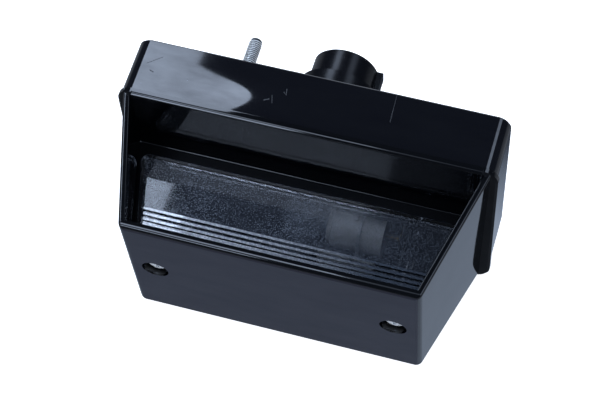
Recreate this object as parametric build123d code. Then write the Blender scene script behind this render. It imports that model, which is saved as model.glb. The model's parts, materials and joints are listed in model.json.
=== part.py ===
from build123d import *
from math import cos, radians, sin, sqrt, tan
import os

# Number plate lamp. X runs across the lamp, Y points back to the panel that it is fixed to and Z points up,
# to the open side of the scoop. The origin is the centre of the flat mounting face. A depth is a distance
# forward of that face, so a point at depth d has Y = -d. All sizes are in millimetres and degrees.

# Base housing
base_width = 135.0
base_height = 72.0
base_depth = 21.8
base_corner = 5.0
base_wall = 2.6
back_wall = 2.6
back_edge = 0.8

# Joint between base and hood
rebate_wall = 1.4
rebate_depth = 3.2
gasket_thickness = 1.4
spigot_wall = 1.1
fit_clearance = 0.15

# Hood outside
lip_overhang = 0.7
lip_thickness = 2.5
lip_edge = 0.8
hood_reach = 70.3
hood_sag = 0.4
front_height = 62.1
front_slant = 4.0
rim_step = 1.0
cheek_half_width = 64.9
cheek_angle = 15.1
cheek_draft = 1.0
hood_edge = 2.6
rim_edge = 0.9

# Hood walls, scoop and lens shelf
cheek_wall = 2.4
front_wall = 3.0
floor_wall = 3.1
shelf_height = 6.3
shelf_thickness = 1.8
scoop_wall_draft = 0.5
cut_margin = 1.0

# Lens
lens_back_margin = 5.2
lens_front_margin = 2.8
lens_side_margin = 1.0
lens_corner = 3.0
lens_raise = 2.1
lens_border = 2.2
lens_panel_drop = 0.8
lens_skin = 1.8
lens_flange = 0.7
lens_flange_thickness = 1.2
rib_count = 5
rib_pitch = 2.05
rib_width = 1.6
rib_crest = 1.0
rib_height = 0.6

# Hood screws, their pockets and towers in the hood and their pillars in the base
screw_half_spacing = 43.4
screw_height = -4.0
screw_diameter = 4.0
screw_grip = 12.0
screw_end_room = 1.0
screw_head_diameter = 8.2
screw_head_height = 2.7
screw_slot_width = 1.2
screw_slot_length = 4.6
screw_slot_depth = 1.5
pocket_diameter = 9.8
pocket_depth = 5.0
pocket_wall = 2.0
tower_diameter = 9.0
tower_entry = 3.5
pillar_diameter = 9.0
screw_clearance = 0.3
thread_clearance = 0.05

# Mounting stud: a hexagon screw, put in from inside, with a collar in the back wall and its head in a boss
stud_diameter = 5.0
stud_length = 32.0
stud_collar_diameter = 6.4
stud_offset = 36.0
stud_tip = 0.8
stud_head_flats = 8.0
stud_head_height = 3.5
stud_boss_wall = 2.4
stud_clearance = 0.15

# Neck behind the mounting face and the plug socket that stands in it
neck_diameter = 30.0
neck_length = 17.4
neck_floor = 1.0
socket_diameter = 24.4
socket_length = 27.8
socket_wall = 2.0
socket_floor = 3.5
socket_edge = 0.8
key_height = 2.0
key_width = 5.0
key_setback = 0.5

# Terminals and the pad that carries them
blade_width = 6.3
blade_thickness = 0.8
blade_spacing = 9.0
blade_reach = 17.5
slot_clearance = 0.1
pad_thickness = 4.0
pad_margin = 2.0

# Bulb, lying across the lamp with its cap to the right
bulb_depth = 28.0
bulb_height = -15.5
bulb_cap_start = 9.2
bulb_glass_diameter = 18.0
bulb_glass_facets = 8
bulb_neck_diameter = 11.0
bulb_neck_length = 3.0
bulb_cap_diameter = 15.0
bulb_cap_length = 17.0
bulb_nub_diameter = 5.0
bulb_nub_height = 1.5
bulb_pin_diameter = 2.0
bulb_pin_height = 0.9
bulb_pin_setback = 7.0

# Bayonet shell, its insulator and centre contact
shell_clearance = 0.2
shell_wall = 0.6
shell_overlap = 15.0
insulator_thickness = 2.0
insulator_clearance = 0.1
contact_diameter = 3.0
contact_head_diameter = 4.4
contact_head_thickness = 0.5
contact_tail = 5.2

# Bracket that carries the shell, and its two screws
bracket_thickness = 1.0
bracket_half_width = 10.0
bracket_foot = 15.0
bracket_setback = 4.0
bracket_screw_diameter = 3.0
bracket_screw_length = 5.5
bracket_screw_half_spacing = 6.5
bracket_screw_head_diameter = 5.4
bracket_screw_head_height = 2.0

# Sizes worked out from those above
lip_front = base_depth + lip_thickness
lip_half_height = base_height / 2 + lip_overhang
hood_bottom = -(base_height / 2 + hood_sag)
front_top = hood_bottom + front_height
front_lean = front_slant / front_height
rim_height = lip_half_height - rim_step
cheek_slope = tan(radians(cheek_angle))
draft_slope = tan(radians(cheek_draft))
scoop_foot_depth = lip_front + scoop_wall_draft
shelf_underside = shelf_height - shelf_thickness
tower_end = base_depth - tower_entry
spigot_length = rebate_depth - gasket_thickness
pad_top = back_wall + pad_thickness
strip_top = pad_top + blade_thickness
socket_seat = neck_floor
socket_end = socket_seat + socket_length
bulb_cap_end = bulb_cap_start + bulb_cap_length
contact_start = bulb_cap_end + bulb_nub_height
insulator_start = contact_start + contact_head_thickness
insulator_end = insulator_start + insulator_thickness
shell_start = bulb_cap_end - shell_overlap
shell_inner_radius = bulb_cap_diameter / 2 + shell_clearance
shell_outer_radius = shell_inner_radius + shell_wall
bracket_face = bulb_cap_end - bracket_setback
live_arm_face = insulator_end + contact_tail


def at_depth(depth):
    """Plane across the lamp at a depth, facing forward, with X to the right and Z up."""
    return Plane.XZ.offset(depth)


def slab(sketch, start, end):
    """Solid between two depths with the outline of a sketch in X and Z."""
    return extrude(at_depth(start) * sketch, amount=end - start)


def rod(x, z, diameter, start, end):
    """Round bar along the depth direction."""
    return slab(Pos(x, z) * Circle(diameter / 2), start, end)


def strip(left, right, bottom, top, start, end):
    """Flat stamped strip with straight sides, between two depths."""
    middle = Pos((left + right) / 2, (bottom + top) / 2)
    return slab(middle * Rectangle(right - left, top - bottom), start, end)


def turned(outline):
    """Solid turned about the bulb's axis, from a closed outline of distances along X and radii."""
    return Pos(0, -bulb_depth, bulb_height) * revolve(make_face(outline), axis=Axis.X)


def mouth_outline(inset):
    """Outline of the base moved in by an inset, with its corner radius following."""
    return RectangleRounded(base_width - 2 * inset, base_height - 2 * inset, base_corner - inset)


def wedge(outline, inset):
    """Side outline of depths and heights, trimmed to the two cheeks moved in by an inset."""
    points = [(-depth, height) for depth, height in outline]
    face = Plane.YZ * make_face(Polyline(*points, close=True))
    block = extrude(face, amount=base_width, both=True)
    for side in (1, -1):
        corner = (side * cheek_half_width, -lip_front, 0)
        cheek = Plane(origin=corner, z_dir=(side, -cheek_slope, -draft_slope))
        block = split(block, bisect_by=cheek.offset(-inset), keep=Keep.BOTTOM)
    return block


def front_depth(height):
    """Depth of the slanted front plate's outer face at a height."""
    return hood_reach - front_lean * (front_top - height)


scoop_front_depth = front_depth(shelf_height) - front_wall
lens_back_depth = scoop_foot_depth + lens_back_margin
lens_front_depth = scoop_front_depth - lens_front_margin


def scoop_half_width(depth):
    """Half width of the scoop's floor at a depth."""
    inset = cheek_wall * sqrt(1 + cheek_slope**2 + draft_slope**2)
    return cheek_half_width - inset - cheek_slope * (depth - lip_front) + draft_slope * shelf_height


def lens_outline(grow):
    """Lens outline in X and Y, wider at the back, moved out by an amount."""
    back = lens_back_depth - grow
    front = lens_front_depth + grow
    back_half = scoop_half_width(back) - lens_side_margin + grow
    front_half = scoop_half_width(front) - lens_side_margin + grow
    points = [(-back_half, -back), (back_half, -back), (front_half, -front), (-front_half, -front)]
    face = make_face(Polyline(*points, close=True))
    return fillet(face.vertices(), lens_corner + grow)


def on_shelf(sketch, start, end):
    """Solid between two heights above the scoop's floor."""
    return extrude(Plane.XY.offset(shelf_height + start) * sketch, amount=end - start)


def make_base():
    """Moulded box with its neck, pillars, stud boss and terminal pad."""
    shell = slab(mouth_outline(0), 0, base_depth)
    shell = chamfer(shell.faces().sort_by(Axis.Y)[-1].edges(), back_edge)
    shell -= slab(mouth_outline(base_wall), back_wall, base_depth)
    shell -= slab(mouth_outline(rebate_wall), base_depth - rebate_depth, base_depth)
    shell += rod(0, 0, neck_diameter, -neck_length, back_wall)
    for side in (-1, 1):
        shell += rod(side * screw_half_spacing, screw_height, pillar_diameter, back_wall, tower_end)
    boss_diameter = (stud_head_flats + 2 * fit_clearance) * 2 / sqrt(3) + 2 * stud_boss_wall
    shell += rod(-stud_offset, 0, boss_diameter, back_wall, back_wall + stud_head_height)
    pad_left = -blade_spacing / 2 - blade_thickness / 2 - pad_margin
    pad_right = live_arm_face + blade_thickness + pad_margin
    pad_low = bulb_height - bracket_half_width - pad_margin
    pad_high = blade_width / 2 + pad_margin
    shell += strip(pad_left, pad_right, pad_low, pad_high, back_wall, pad_top)
    shell -= rod(0, 0, socket_diameter + 2 * fit_clearance, -neck_length, -neck_floor)
    for side in (-1, 1):
        bore = screw_diameter + 2 * thread_clearance
        bottom = tower_end - screw_grip - screw_end_room
        shell -= rod(side * screw_half_spacing, screw_height, bore, bottom, tower_end)
        shell -= blade_slot(side, -neck_floor, pad_top)
    shell -= rod(-stud_offset, 0, stud_collar_diameter + 2 * stud_clearance, 0, back_wall)
    pocket = RegularPolygon(stud_head_flats / 2 + fit_clearance, 6, major_radius=False)
    shell -= slab(Pos(-stud_offset, 0) * pocket, back_wall, back_wall + stud_head_height)
    for height in bracket_screw_heights():
        bore = bracket_screw_diameter + 2 * thread_clearance
        shell -= rod(bracket_screw_place(), height, bore, strip_top - bracket_screw_length, pad_top)
    return shell


def spigot_ring():
    """Section of the hood's spigot and of the gasket: a ring that fits in the base's mouth."""
    outside = rebate_wall + fit_clearance
    return mouth_outline(outside) - mouth_outline(outside + spigot_wall)


def blade_slot(side, start, end):
    """Slot that a terminal's blade passes through, on one side of the socket's middle."""
    opening = Rectangle(blade_thickness + 2 * slot_clearance, blade_width + 2 * slot_clearance)
    return slab(Pos(side * blade_spacing / 2, 0) * opening, start, end)


def make_hood():
    """Moulded front: lip, tapered hood with its scoop and chamber, lens shelf, screw towers and pockets."""
    outside = [(base_depth, hood_bottom), (front_depth(hood_bottom), hood_bottom), (hood_reach, front_top),
               (lip_front, rim_height), (base_depth, rim_height)]
    body = wedge(outside, 0)
    front_edges = body.faces().sort_by(Axis.Y)[0].edges()
    bottom_edges = body.faces().sort_by(Axis.Z)[0].edges().sort_by(Axis.Y)[1:3]
    body = fillet(front_edges + bottom_edges, hood_edge)
    rim = body.faces().filter_by(GeomType.PLANE).sort_by(Axis.Z)[-2]
    rim_sides = rim.edges().sort_by(Axis.X)
    body = fillet([rim_sides[0], rim_sides[-1]], rim_edge)
    lip = slab(mouth_outline(-lip_overhang), base_depth, lip_front)
    lip = chamfer(lip.faces().sort_by(Axis.Y)[0].edges(), lip_edge)
    hood = lip + body
    sky = lip_half_height + cut_margin
    scoop = [(scoop_foot_depth, shelf_height), (scoop_front_depth, shelf_height),
             (front_depth(sky) - front_wall, sky), (lip_front, sky), (lip_front, lip_half_height)]
    hood -= wedge(scoop, cheek_wall)
    chamber_floor = hood_bottom + floor_wall
    chamber = [(base_depth, chamber_floor), (front_depth(chamber_floor) - front_wall, chamber_floor),
               (front_depth(shelf_underside) - front_wall, shelf_underside), (base_depth, shelf_underside)]
    hood -= wedge(chamber, cheek_wall)
    hood += slab(spigot_ring(), base_depth - spigot_length, base_depth)
    hood -= on_shelf(lens_outline(fit_clearance), -shelf_thickness - cut_margin, lens_raise)
    plate = front_depth(screw_height)
    shoulder = plate - pocket_depth
    for side in (-1, 1):
        x = side * screw_half_spacing
        hood += rod(x, screw_height, tower_diameter, tower_end, plate - front_wall)
        wide = pocket_diameter + 2 * pocket_wall
        hood += rod(x, screw_height, wide, shoulder - pocket_wall, plate - front_wall)
        hood -= rod(x, screw_height, pocket_diameter, shoulder, hood_reach)
        hood -= rod(x, screw_height, screw_diameter + 2 * screw_clearance, tower_end, shoulder)
    return hood


def make_lens():
    """Clear tray: a flange under the shelf, a raised border, a sunk panel and ribs along the front."""
    underside = -shelf_thickness - lens_flange_thickness
    panel = lens_raise - lens_panel_drop
    lens = on_shelf(lens_outline(0), underside, lens_raise)
    lens += on_shelf(lens_outline(lens_flange), underside, -shelf_thickness)
    lens -= on_shelf(lens_outline(-lens_border), panel, lens_raise)
    lens -= on_shelf(lens_outline(-lens_border), underside, panel - lens_skin)
    panel_height = shelf_height + panel
    for number in range(rib_count):
        depth = lens_front_depth - lens_border - (number + 0.5) * rib_pitch
        half = scoop_half_width(depth) - lens_side_margin - lens_border
        crest_height = panel_height + rib_height
        section = Polyline((-depth - rib_width / 2, panel_height), (-depth - rib_crest / 2, crest_height),
                           (-depth + rib_crest / 2, crest_height), (-depth + rib_width / 2, panel_height),
                           close=True)
        lens += extrude(Plane.YZ * make_face(section), amount=half, both=True)
    return lens


def make_hood_screw(side):
    """Long cross-slotted screw through a tower of the hood into a pillar of the base."""
    x = side * screw_half_spacing
    shoulder = front_depth(screw_height) - pocket_depth
    head = rod(x, screw_height, screw_head_diameter, shoulder, shoulder + screw_head_height)
    top = shoulder + screw_head_height
    for width, height in ((screw_slot_width, screw_slot_length), (screw_slot_length, screw_slot_width)):
        head -= slab(Pos(x, screw_height) * Rectangle(width, height), top - screw_slot_depth, top)
    shank = rod(x, screw_height, screw_diameter, tower_end - screw_grip, shoulder)
    return head + shank


def make_stud():
    """Hexagon screw that stands out of the mounting face."""
    hexagon = RegularPolygon(stud_head_flats / 2, 6, major_radius=False)
    head = slab(Pos(-stud_offset, 0) * hexagon, back_wall, back_wall + stud_head_height)
    collar = rod(-stud_offset, 0, stud_collar_diameter, 0, back_wall)
    shank = rod(-stud_offset, 0, stud_diameter, -stud_length, 0)
    shank = chamfer(shank.faces().sort_by(Axis.Y)[-1].edges(), stud_tip)
    return head + collar + shank


def make_gasket():
    """Rubber ring on the ledge inside the base's mouth, under the hood's spigot."""
    start = base_depth - rebate_depth
    return slab(spigot_ring(), start, start + gasket_thickness)


def make_socket():
    """Round plug socket, open at the back, with slots for two blades and a key rib on its right side."""
    body = rod(0, 0, socket_diameter, -socket_end, -socket_seat)
    body = chamfer(body.faces().sort_by(Axis.Y)[-1].edges(), socket_edge)
    cavity = socket_diameter - 2 * socket_wall
    body -= rod(0, 0, cavity, -socket_end, -socket_seat - socket_floor)
    key_top = socket_diameter / 2 + key_height
    key_root = socket_diameter / 2 - socket_wall / 2
    body += strip(key_root, key_top, -key_width / 2, key_width / 2, key_setback - socket_end, -neck_length)
    for side in (-1, 1):
        body -= blade_slot(side, -socket_seat - socket_floor, -socket_seat)
    return body


def terminal_blade(side):
    """Blade of a terminal, from inside the plug socket down to the face of the pad's strip."""
    x = side * blade_spacing / 2
    half = blade_thickness / 2
    return strip(x - half, x + half, -blade_width / 2, blade_width / 2, -blade_reach, strip_top)


def make_live_terminal():
    """Stamped strip from the right blade across the pad to an arm that meets the centre contact."""
    half = blade_width / 2
    left = blade_spacing / 2 - blade_thickness / 2
    right = live_arm_face + blade_thickness
    low = bulb_height - half
    run = strip(left, right, -half, half, pad_top, strip_top)
    leg = strip(right - blade_width, right, low, half, pad_top, strip_top)
    arm = strip(live_arm_face, right, low, bulb_height + half, pad_top, bulb_depth + contact_diameter)
    return terminal_blade(1) + run + leg + arm


def make_earth_terminal():
    """Stamped strip from the left blade to a tongue that is clamped under the bracket's foot."""
    half = blade_width / 2
    left = -blade_spacing / 2 - blade_thickness / 2
    tongue_low = bulb_height - bracket_half_width
    tongue_high = bulb_height + bracket_half_width
    leg = strip(left, left + blade_width, tongue_high - blade_width, half, pad_top, strip_top)
    run = strip(left, bracket_face, tongue_high - blade_width, tongue_high, pad_top, strip_top)
    tongue = strip(bracket_face - bracket_foot, bracket_face, tongue_low, tongue_high, pad_top, strip_top)
    terminal = terminal_blade(-1) + leg + run + tongue
    for height in bracket_screw_heights():
        bore = bracket_screw_diameter + 2 * screw_clearance
        terminal -= rod(bracket_screw_place(), height, bore, pad_top, strip_top)
    return terminal


def bracket_screw_place():
    """Place of both bracket screws across the lamp, in the middle of the foot."""
    return bracket_face - bracket_foot / 2


def bracket_screw_heights():
    """Heights of the lower and the upper bracket screw."""
    return (bulb_height - bracket_screw_half_spacing, bulb_height + bracket_screw_half_spacing)


def make_bracket():
    """Bent strip: a foot on the earth terminal's tongue, and an arm with a round eye for the shell."""
    foot_top = strip_top + bracket_thickness
    foot = strip(bracket_face - bracket_foot, bracket_face, bulb_height - bracket_half_width,
                 bulb_height + bracket_half_width, strip_top, foot_top)
    for height in bracket_screw_heights():
        bore = bracket_screw_diameter + 2 * screw_clearance
        foot -= rod(bracket_screw_place(), height, bore, strip_top, foot_top)
    straight = Pos(-(strip_top + bulb_depth) / 2, bulb_height)
    plate = straight * Rectangle(bulb_depth - strip_top, 2 * bracket_half_width)
    plate += Pos(-bulb_depth, bulb_height) * Circle(bracket_half_width)
    plate -= Pos(-bulb_depth, bulb_height) * Circle(shell_outer_radius + thread_clearance)
    arm = extrude(Plane.YZ.offset(bracket_face - bracket_thickness) * plate, amount=bracket_thickness)
    return foot + arm


def make_bracket_screw(height):
    """Short cheese-head screw through the bracket's foot into the pad."""
    x = bracket_screw_place()
    seat = strip_top + bracket_thickness
    head = rod(x, height, bracket_screw_head_diameter, seat, seat + bracket_screw_head_height)
    return head + rod(x, height, bracket_screw_diameter, strip_top - bracket_screw_length, seat)


def make_bulb():
    """Sealed bayonet bulb: glass ball turned in flats, neck, cap with two side pins, and an end contact."""
    radius = bulb_glass_diameter / 2
    neck = bulb_neck_diameter / 2
    cap = bulb_cap_diameter / 2
    nub = bulb_nub_diameter / 2
    neck_start = bulb_cap_start - bulb_neck_length
    glass_centre = neck_start - sqrt(radius**2 - neck**2)
    half_facet = radians(180 / bulb_glass_facets)
    turns = [half_facet * count for count in range(1, bulb_glass_facets - 2, 2)]
    ball = [(glass_centre - radius * cos(turn), radius * sin(turn)) for turn in turns]
    end = (ball[0][0], 0)
    stem = [(neck_start, neck), (bulb_cap_start, neck), (bulb_cap_start, cap), (bulb_cap_end, cap),
            (bulb_cap_end, nub), (contact_start, nub), (contact_start, 0)]
    pin_place = Pos(bulb_cap_end - bulb_pin_setback, -bulb_depth, bulb_height)
    pin = pin_place * Cylinder(bulb_pin_diameter / 2, 2 * (cap + bulb_pin_height))
    return turned(Polyline(end, *ball, *stem, close=True)) + pin


def make_shell():
    """Pressed bayonet shell with two pin slots, fixed in the bracket's eye."""
    outline = Polyline((shell_start, shell_inner_radius), (shell_start, shell_outer_radius),
                       (insulator_end, shell_outer_radius), (insulator_end, shell_inner_radius), close=True)
    slot_end = bulb_cap_end - bulb_pin_setback + bulb_pin_diameter / 2 + shell_clearance
    slot_middle = (shell_start + slot_end) / 2
    slot_height = 2 * (shell_outer_radius + cut_margin)
    slot = Box(slot_end - shell_start, bulb_pin_diameter + 2 * shell_clearance, slot_height)
    return turned(outline) - Pos(slot_middle, -bulb_depth, bulb_height) * slot


def make_insulator():
    """Disc that closes the shell, with a hole for the contact."""
    outer = shell_inner_radius - insulator_clearance
    hole = contact_diameter / 2 + insulator_clearance
    return turned(Polyline((insulator_start, hole), (insulator_start, outer), (insulator_end, outer),
                           (insulator_end, hole), close=True))


def make_contact():
    """Rivet from the bulb's end contact through the disc to the live terminal's arm."""
    head = contact_head_diameter / 2
    tail = contact_diameter / 2
    return turned(Polyline((contact_start, 0), (contact_start, head), (insulator_start, head),
                           (insulator_start, tail), (live_arm_face, tail), (live_arm_face, 0), close=True))


lower_screw, upper_screw = bracket_screw_heights()
pieces = {
    "base_housing": make_base(),
    "hood": make_hood(),
    "lens": make_lens(),
    "gasket": make_gasket(),
    "hood_screw_left": make_hood_screw(-1),
    "hood_screw_right": make_hood_screw(1),
    "mounting_stud": make_stud(),
    "socket_body": make_socket(),
    "live_terminal": make_live_terminal(),
    "earth_terminal": make_earth_terminal(),
    "holder_bracket": make_bracket(),
    "bracket_screw_lower": make_bracket_screw(lower_screw),
    "bracket_screw_upper": make_bracket_screw(upper_screw),
    "bulb_shell": make_shell(),
    "shell_insulator": make_insulator(),
    "centre_contact": make_contact(),
    "bulb": make_bulb(),
}

os.makedirs("parts", exist_ok=True)
for name, piece in pieces.items():
    export_step(piece, f"parts/{name}.step")
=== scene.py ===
import json
import logging
import math
from contextlib import contextmanager
from dataclasses import dataclass, field
from enum import Enum
from typing import Callable, Iterator, Sequence

import bmesh
import bpy
from mathutils import Matrix, Vector

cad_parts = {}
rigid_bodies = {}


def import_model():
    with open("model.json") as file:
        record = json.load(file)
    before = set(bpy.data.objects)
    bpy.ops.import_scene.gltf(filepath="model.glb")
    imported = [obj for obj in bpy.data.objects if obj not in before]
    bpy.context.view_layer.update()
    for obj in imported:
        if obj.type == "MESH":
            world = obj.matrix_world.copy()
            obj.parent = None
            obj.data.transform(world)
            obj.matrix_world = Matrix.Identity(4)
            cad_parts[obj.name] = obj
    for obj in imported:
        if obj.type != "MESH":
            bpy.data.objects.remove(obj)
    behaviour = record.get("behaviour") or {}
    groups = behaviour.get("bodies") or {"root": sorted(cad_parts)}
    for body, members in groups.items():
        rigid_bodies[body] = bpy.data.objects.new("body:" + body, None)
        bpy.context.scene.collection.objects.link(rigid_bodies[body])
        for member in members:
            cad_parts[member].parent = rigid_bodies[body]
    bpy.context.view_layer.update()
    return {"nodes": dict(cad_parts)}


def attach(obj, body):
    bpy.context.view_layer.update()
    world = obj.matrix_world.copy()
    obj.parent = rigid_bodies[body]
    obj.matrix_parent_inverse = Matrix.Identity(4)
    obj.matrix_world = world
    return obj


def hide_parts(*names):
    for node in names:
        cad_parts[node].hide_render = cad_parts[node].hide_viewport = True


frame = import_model()
LOG = logging.getLogger("number_plate_lamp")
MM = 0.001
# Corners closer than this are the same corner.
WELD = 0.001 * MM
# Faces that meet at more than this many degrees are shaded with a crease.
CREASE = 32.0
# Where the stud stands, to the left of the middle, in millimetres.
STUD_ACROSS = -36.0

Point = tuple[float, float, float]
Colour = tuple[float, float, float, float]
Ends = tuple[float, float]
Piece = bpy.types.Object
Tree = bpy.types.NodeTree
Node = bpy.types.Node
Socket = bpy.types.NodeSocket
Inputs = dict[str | int, object]
Face = bmesh.types.BMFace
Edge = bmesh.types.BMEdge
FaceTest = Callable[[Face], bool]
EdgeTest = Callable[[Edge], bool]
Coats = tuple[tuple["Finish", FaceTest], ...]


class Axis(Enum):
    """Direction of the axis that a turned piece is spun about."""

    ACROSS = (1.0, 0.0, 0.0)
    BACK = (0.0, 1.0, 0.0)
    UP = (0.0, 0.0, 1.0)


class Part(Enum):
    """Kind of mesh element that a selection is made of."""

    FACE = "faces"
    EDGE = "edges"


def linear(code: str) -> Colour:
    """Turns an sRGB hex colour into linear light.

    Args:
        code: colour as six hex digits.

    Returns:
        Red, green, blue and full opacity.
    """
    shares = [int(code[place:place + 2], 16) / 255 for place in (0, 2, 4)]
    light = [s / 12.92 if s <= 0.04045 else ((s + 0.055) / 1.055) ** 2.4 for s in shares]
    return (light[0], light[1], light[2], 1.0)


def feed(tree: Tree, node: Node, inputs: Inputs) -> None:
    """Links or sets the inputs of a node.

    Args:
        tree: node tree that holds the node.
        node: node to feed.
        inputs: an output to link from, or a value, for each input by name or number.
    """
    for name, value in inputs.items():
        if isinstance(value, Socket):
            tree.links.new(value, node.inputs[name])
        else:
            node.inputs[name].default_value = value


def add_node(tree: Tree, kind: str, settings: dict[str, object], inputs: Inputs) -> Node:
    """Adds a node with its settings, and links or sets its inputs.

    Args:
        tree: node tree that gets the node.
        kind: the node's type name.
        settings: attributes of the node.
        inputs: an output to link from, or a value, for each input by name or number.

    Returns:
        The new node.
    """
    node = tree.nodes.new(kind)
    for name, value in settings.items():
        setattr(node, name, value)
    feed(tree, node, inputs)
    return node


def span(tree: Tree, value: Socket, start: float, end: float, low: float = 0.0, high: float = 1.0,
         kind: str = "LINEAR") -> Socket:
    """Maps a value that goes from start to end to one that goes from low to high, held at both ends."""
    return add_node(tree, "ShaderNodeMapRange", {"interpolation_type": kind}, {
        "Value": value, "From Min": start, "From Max": end, "To Min": low, "To Max": high}).outputs["Result"]


def reckon(tree: Tree, operation: str, *terms: Socket | float, clamp: bool = False) -> Socket:
    """Works one sum out, with outputs or numbers as its terms."""
    settings = {"operation": operation, "use_clamp": clamp}
    return add_node(tree, "ShaderNodeMath", settings, dict(enumerate(terms))).outputs["Value"]


def blend(tree: Tree, share: Socket, low: Socket | Colour, high: Socket | Colour) -> Socket:
    """Mixes two colours by a share that varies."""
    return add_node(tree, "ShaderNodeMix", {"data_type": "RGBA"}, {0: share, 6: low, 7: high}).outputs[2]


def noise(tree: Tree, place: Socket, size: float, detail: float, roughness: float = 0.5) -> Socket:
    """Draws noise between 0 and 1, whose clouds have a size in millimetres and a number of finer layers."""
    return add_node(tree, "ShaderNodeTexNoise", {}, {
        "Vector": place, "Scale": 1 / size, "Detail": detail, "Roughness": roughness}).outputs["Fac"]


def stretch(tree: Tree, place: Socket, scale: Point) -> Socket:
    """Scales coordinates along each axis."""
    return add_node(tree, "ShaderNodeMapping", {}, {"Vector": place, "Scale": scale}).outputs["Vector"]


def relief(tree: Tree, height: Socket, depth: float, under: Socket | None = None) -> Socket:
    """Bends the normal by a height from 0 to 1 that stands for a depth in millimetres, on the relief under it."""
    inputs = {"Height": height, "Distance": depth * MM, "Strength": 1.0} | ({"Normal": under} if under else {})
    return add_node(tree, "ShaderNodeBump", {}, inputs).outputs["Normal"]


def pick(piece: Piece) -> None:
    """Selects one piece alone and makes it the active one."""
    for item in bpy.context.view_layer.objects:
        item.select_set(item == piece)
    bpy.context.view_layer.objects.active = piece


@contextmanager
def editing(piece: Piece) -> Iterator[None]:
    """Edit mode on one piece, with all of it selected at the start.

    Args:
        piece: piece to edit.

    Returns:
        Context in which the piece is in edit mode.
    """
    pick(piece)
    bpy.ops.object.mode_set(mode="EDIT")
    bpy.ops.mesh.select_mode(type="VERT")
    bpy.ops.mesh.select_all(action="SELECT")
    yield
    bpy.ops.object.mode_set(mode="OBJECT")


def select_where(piece: Piece, part: Part, test: FaceTest | EdgeTest) -> int:
    """Selects the faces or edges of a piece in edit mode that pass a test.

    Args:
        piece: piece that is in edit mode.
        part: faces or edges.
        test: says which of them are wanted.

    Returns:
        How many were selected.
    """
    bpy.ops.mesh.select_mode(type=part.name)
    mesh = bmesh.from_edit_mesh(piece.data)
    for item in getattr(mesh, part.value):
        item.select_set(test(item))
    mesh.select_flush_mode()
    bmesh.update_edit_mesh(piece.data)
    return sum(item.select for item in getattr(mesh, part.value))


def middle(face: Face) -> Vector:
    """Middle of a face, in millimetres."""
    return face.calc_center_median() / MM


def ends(edge: Edge) -> tuple[Vector, Vector]:
    """Both ends of an edge, in millimetres."""
    return edge.verts[0].co / MM, edge.verts[1].co / MM


def fold(edge: Edge) -> float:
    """Angle in radians between the two faces at an edge, or 0 where there aren't two."""
    return edge.calc_face_angle() if len(edge.link_faces) == 2 else 0.0


def smooth(piece: Piece) -> None:
    """Shades a piece smooth between creases, with its large faces kept flat up to their edges.

    Args:
        piece: piece to shade.
    """
    pick(piece)
    bpy.ops.object.shade_smooth_by_angle(angle=math.radians(CREASE))
    weights = piece.modifiers.new("flat_faces", "WEIGHTED_NORMAL")
    weights.keep_sharp = True
    weights.weight = 90
    bpy.ops.object.modifier_apply(modifier=weights.name)


def settle(piece: Piece) -> None:
    """Applies the place, turn and scale of a piece, so that its object sits at the origin."""
    pick(piece)
    bpy.ops.object.transform_apply(location=True, rotation=True, scale=True)


def join(piece: Piece, *others: Piece) -> Piece:
    """Joins other pieces into one.

    Args:
        piece: piece that takes the others in.
        others: pieces that become part of it.

    Returns:
        The same piece.
    """
    pick(piece)
    for other in others:
        other.select_set(True)
    bpy.ops.object.join()
    return piece


def report(piece: Piece) -> None:
    """Logs a piece with its number of faces."""
    LOG.info("%s: %d faces", piece.name, len(piece.data.polygons))


def show(piece: Piece, slot: str, *stands_for: str) -> Piece:
    """Hands a finished piece to the frame.

    Args:
        piece: finished piece, in place.
        slot: material slot of the record; not used.
        stands_for: CAD nodes that it replaces.

    Returns:
        The same piece.
    """
    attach(piece, "root")
    if stands_for:
        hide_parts(*stands_for)
    report(piece)
    return piece


def turned(name: str, profile: Sequence[Point], axis: Axis, centre: Point, steps: int) -> Piece:
    """Draws a section by extruding one corner from point to point, and spins it once round an axis.

    Args:
        name: name of the new piece.
        profile: points along the section, in metres.
        axis: direction of the axis.
        centre: a point on the axis.
        steps: how many steps a turn has.

    Returns:
        The turned piece as a closed skin, with its normals outwards.
    """
    bpy.ops.mesh.primitive_plane_add(size=MM, location=(0, 0, 0))
    piece = bpy.context.object
    piece.name = piece.data.name = name
    with editing(piece):
        bpy.ops.mesh.merge(type="CENTER")
        bpy.ops.mesh.select_mode(type="VERT")
        bpy.ops.transform.translate(value=profile[0])
        for start, end in zip(profile, profile[1:]):
            step = tuple(b - a for a, b in zip(start, end))
            bpy.ops.mesh.extrude_region_move(TRANSFORM_OT_translate={"value": step})
        bpy.ops.mesh.select_all(action="SELECT")
        bpy.ops.mesh.spin(steps=steps, angle=math.tau, center=centre, axis=axis.value)
        bpy.ops.mesh.select_all(action="SELECT")
        bpy.ops.mesh.remove_doubles(threshold=2 * WELD)
        bpy.ops.mesh.normals_make_consistent(inside=False)
    return piece


def wind(section: Piece, axis: str, pitch: float, turns: int, steps: int) -> None:
    """Winds a closed section round an axis through the origin, and closes its two ends.

    Args:
        section: piece that holds the section.
        axis: letter of the axis.
        pitch: advance in a turn, in millimetres.
        turns: how many turns.
        steps: how many steps a turn has.
    """
    winding = section.modifiers.new("winding", "SCREW")
    winding.axis = axis
    winding.angle = math.tau
    winding.screw_offset = pitch * MM
    winding.iterations = turns
    winding.steps = winding.render_steps = steps
    pick(section)
    bpy.ops.object.modifier_apply(modifier=winding.name)
    with editing(section):
        bpy.ops.mesh.remove_doubles(threshold=WELD)
        bpy.ops.mesh.fill_holes(sides=0)
        bpy.ops.mesh.select_all(action="SELECT")
        bpy.ops.mesh.normals_make_consistent(inside=False)


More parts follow.
